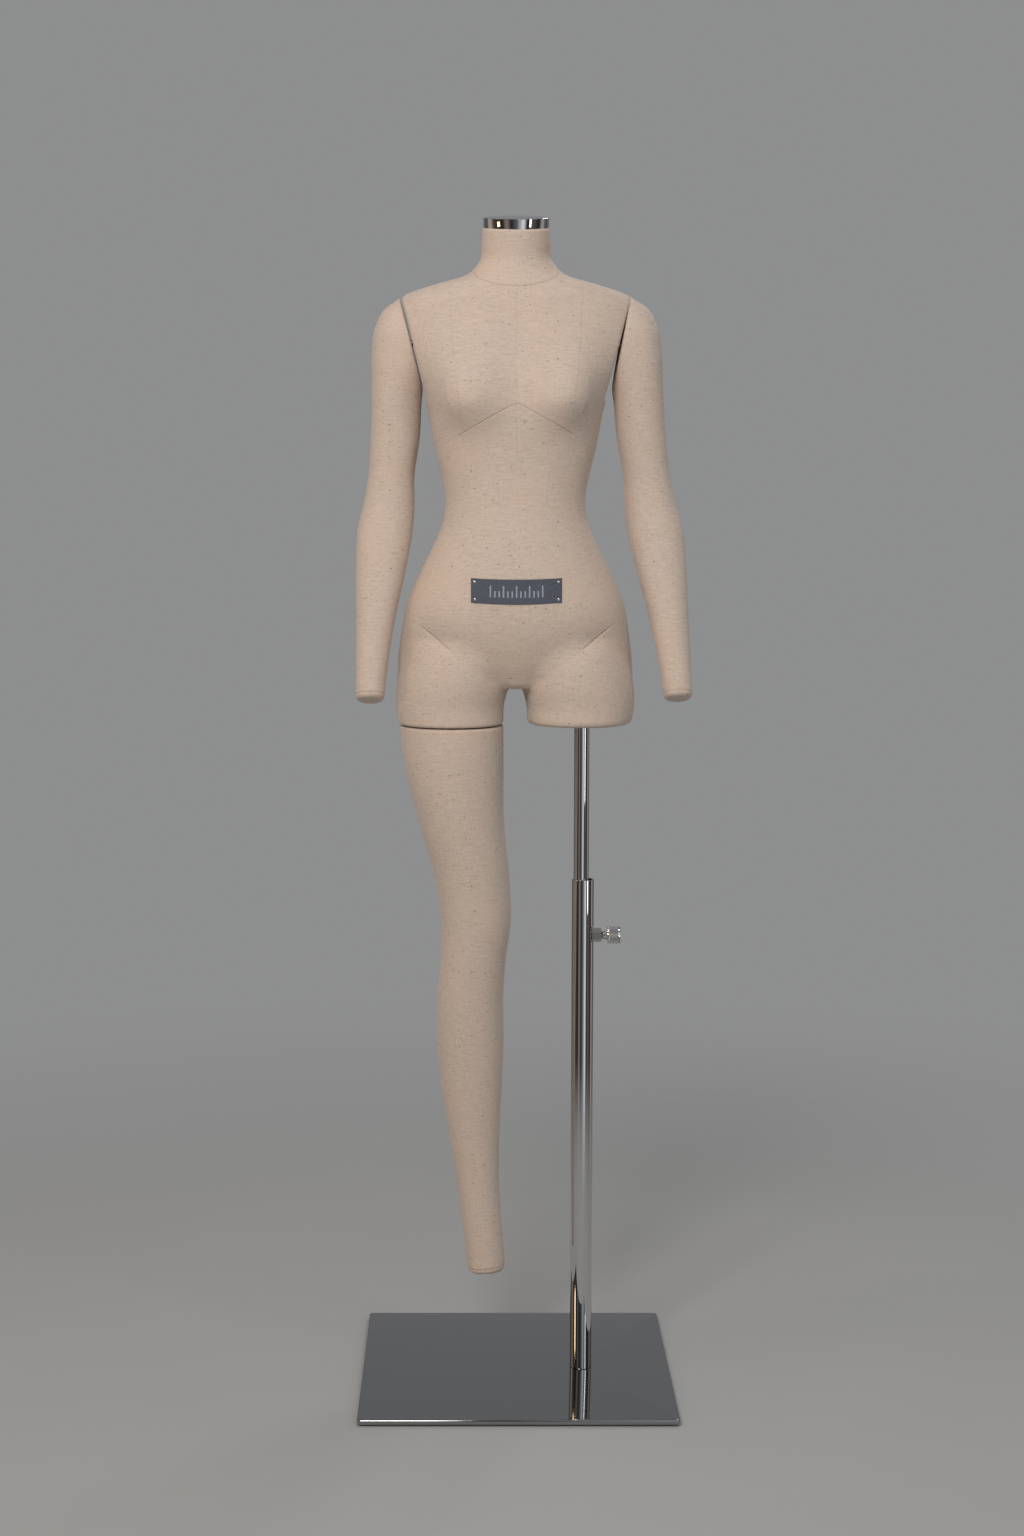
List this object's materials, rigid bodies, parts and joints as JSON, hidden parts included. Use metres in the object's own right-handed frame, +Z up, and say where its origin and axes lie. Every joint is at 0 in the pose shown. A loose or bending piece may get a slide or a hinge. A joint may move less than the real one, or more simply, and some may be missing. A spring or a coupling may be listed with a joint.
{
  "type": "dress form mannequin",
  "caption": "Full-size linen-covered female dress form with detachable arms and one detachable leg, on a height-adjustable chrome rod with a square mirror-steel base.",
  "frame": {"origin": "on the floor under the middle of the square base", "axes": "+Z up along the rod; the form faces -Y; its left side, with the rod, is at +X"},
  "size_m": [0.4742, 0.45, 1.6752],
  "materials": {
    "linen": "matte",
    "glass_fibre": "matte",
    "plywood": "matte",
    "mirror_steel": "polished",
    "chrome": "polished",
    "zinc_steel": "satin",
    "rubber": "matte",
    "black_plastic": "satin",
    "label_cloth": "matte",
    "nickel": "polished"
  },
  "bodies": {
    "stand": {"base_bolt": "zinc_steel", "base_plate": "mirror_steel", "clamp_weld_nut": "zinc_steel", "foot_pad_1": "rubber", "foot_pad_2": "rubber", "foot_pad_3": "rubber", "foot_pad_4": "rubber", "outer_tube": "chrome", "tube_foot_insert": "zinc_steel"},
    "clamp_screw": {"clamp_screw": "zinc_steel"},
    "clamp_knob": {"clamp_knob": "chrome"},
    "rod": {"inner_rod": "chrome", "rod_bottom_plug": "black_plastic", "rod_top_plug": "black_plastic"},
    "torso": {"label_patch": "label_cloth", "label_pin_1": "nickel", "label_pin_2": "nickel", "label_pin_3": "nickel", "label_pin_4": "nickel", "left_shoulder_plate": "zinc_steel", "left_shoulder_screw_1": "zinc_steel", "left_shoulder_screw_2": "zinc_steel", "left_thigh_board": "plywood", "neck_block": "plywood", "neck_cap": "chrome", "neck_cap_screw": "zinc_steel", "pole_socket": "zinc_steel", "right_shoulder_plate": "zinc_steel", "right_shoulder_screw_1": "zinc_steel", "right_shoulder_screw_2": "zinc_steel", "right_thigh_board": "plywood", "right_thigh_plate": "zinc_steel", "right_thigh_screw_1": "zinc_steel", "right_thigh_screw_2": "zinc_steel", "socket_screw_1": "zinc_steel", "socket_screw_2": "zinc_steel", "socket_screw_3": "zinc_steel", "torso_cover": "linen", "torso_shell": "glass_fibre"},
    "right_arm": {"right_arm_cover": "linen", "right_arm_plate": "zinc_steel", "right_arm_shell": "glass_fibre"},
    "left_arm": {"left_arm_cover": "linen", "left_arm_plate": "zinc_steel", "left_arm_shell": "glass_fibre"},
    "leg": {"leg_board": "plywood", "leg_cover": "linen", "leg_plate": "zinc_steel", "leg_shell": "glass_fibre"}
  },
  "joints": [
    {"name": "height_slide", "type": "slide", "parent": "stand", "child": "rod", "axis": [0, 0, 1], "range_m": [-0.12, 0.2]},
    {"name": "clamp_travel", "type": "slide", "parent": "stand", "child": "clamp_screw", "axis": [1, 0, 0], "range_m": [0, 0.0045]},
    {"name": "clamp_turn", "type": "hinge", "parent": "clamp_screw", "child": "clamp_knob", "pos_m": [0.0949, -0.0116, 0.6533], "axis": [1, 0, 0], "range_deg": [0, 1080]},
    {"name": "torso_swivel", "type": "hinge", "parent": "rod", "child": "torso", "pos_m": [0.0923, -0.0116, 1], "axis": [0, 0, 1], "continuous": true},
    {"name": "right_arm_swing", "type": "hinge", "parent": "torso", "child": "right_arm", "pos_m": [-0.1479, 0.003, 1.497], "axis": [-0.9681, 0, -0.2504], "range_deg": [-30, 90]},
    {"name": "left_arm_swing", "type": "hinge", "parent": "torso", "child": "left_arm", "pos_m": [0.14434, 0.003, 1.49642], "axis": [-0.9778, 0, 0.2096], "range_deg": [-30, 90]},
    {"name": "leg_twist", "type": "hinge", "parent": "torso", "child": "leg", "pos_m": [-0.0945, -0.007, 0.96], "axis": [0, 0, 1], "range_deg": [0, 45]}
  ],
  "couplings": [
    {"joint": "clamp_turn", "follows": "clamp_travel", "rad_per_m": 4188.8}
  ]
}
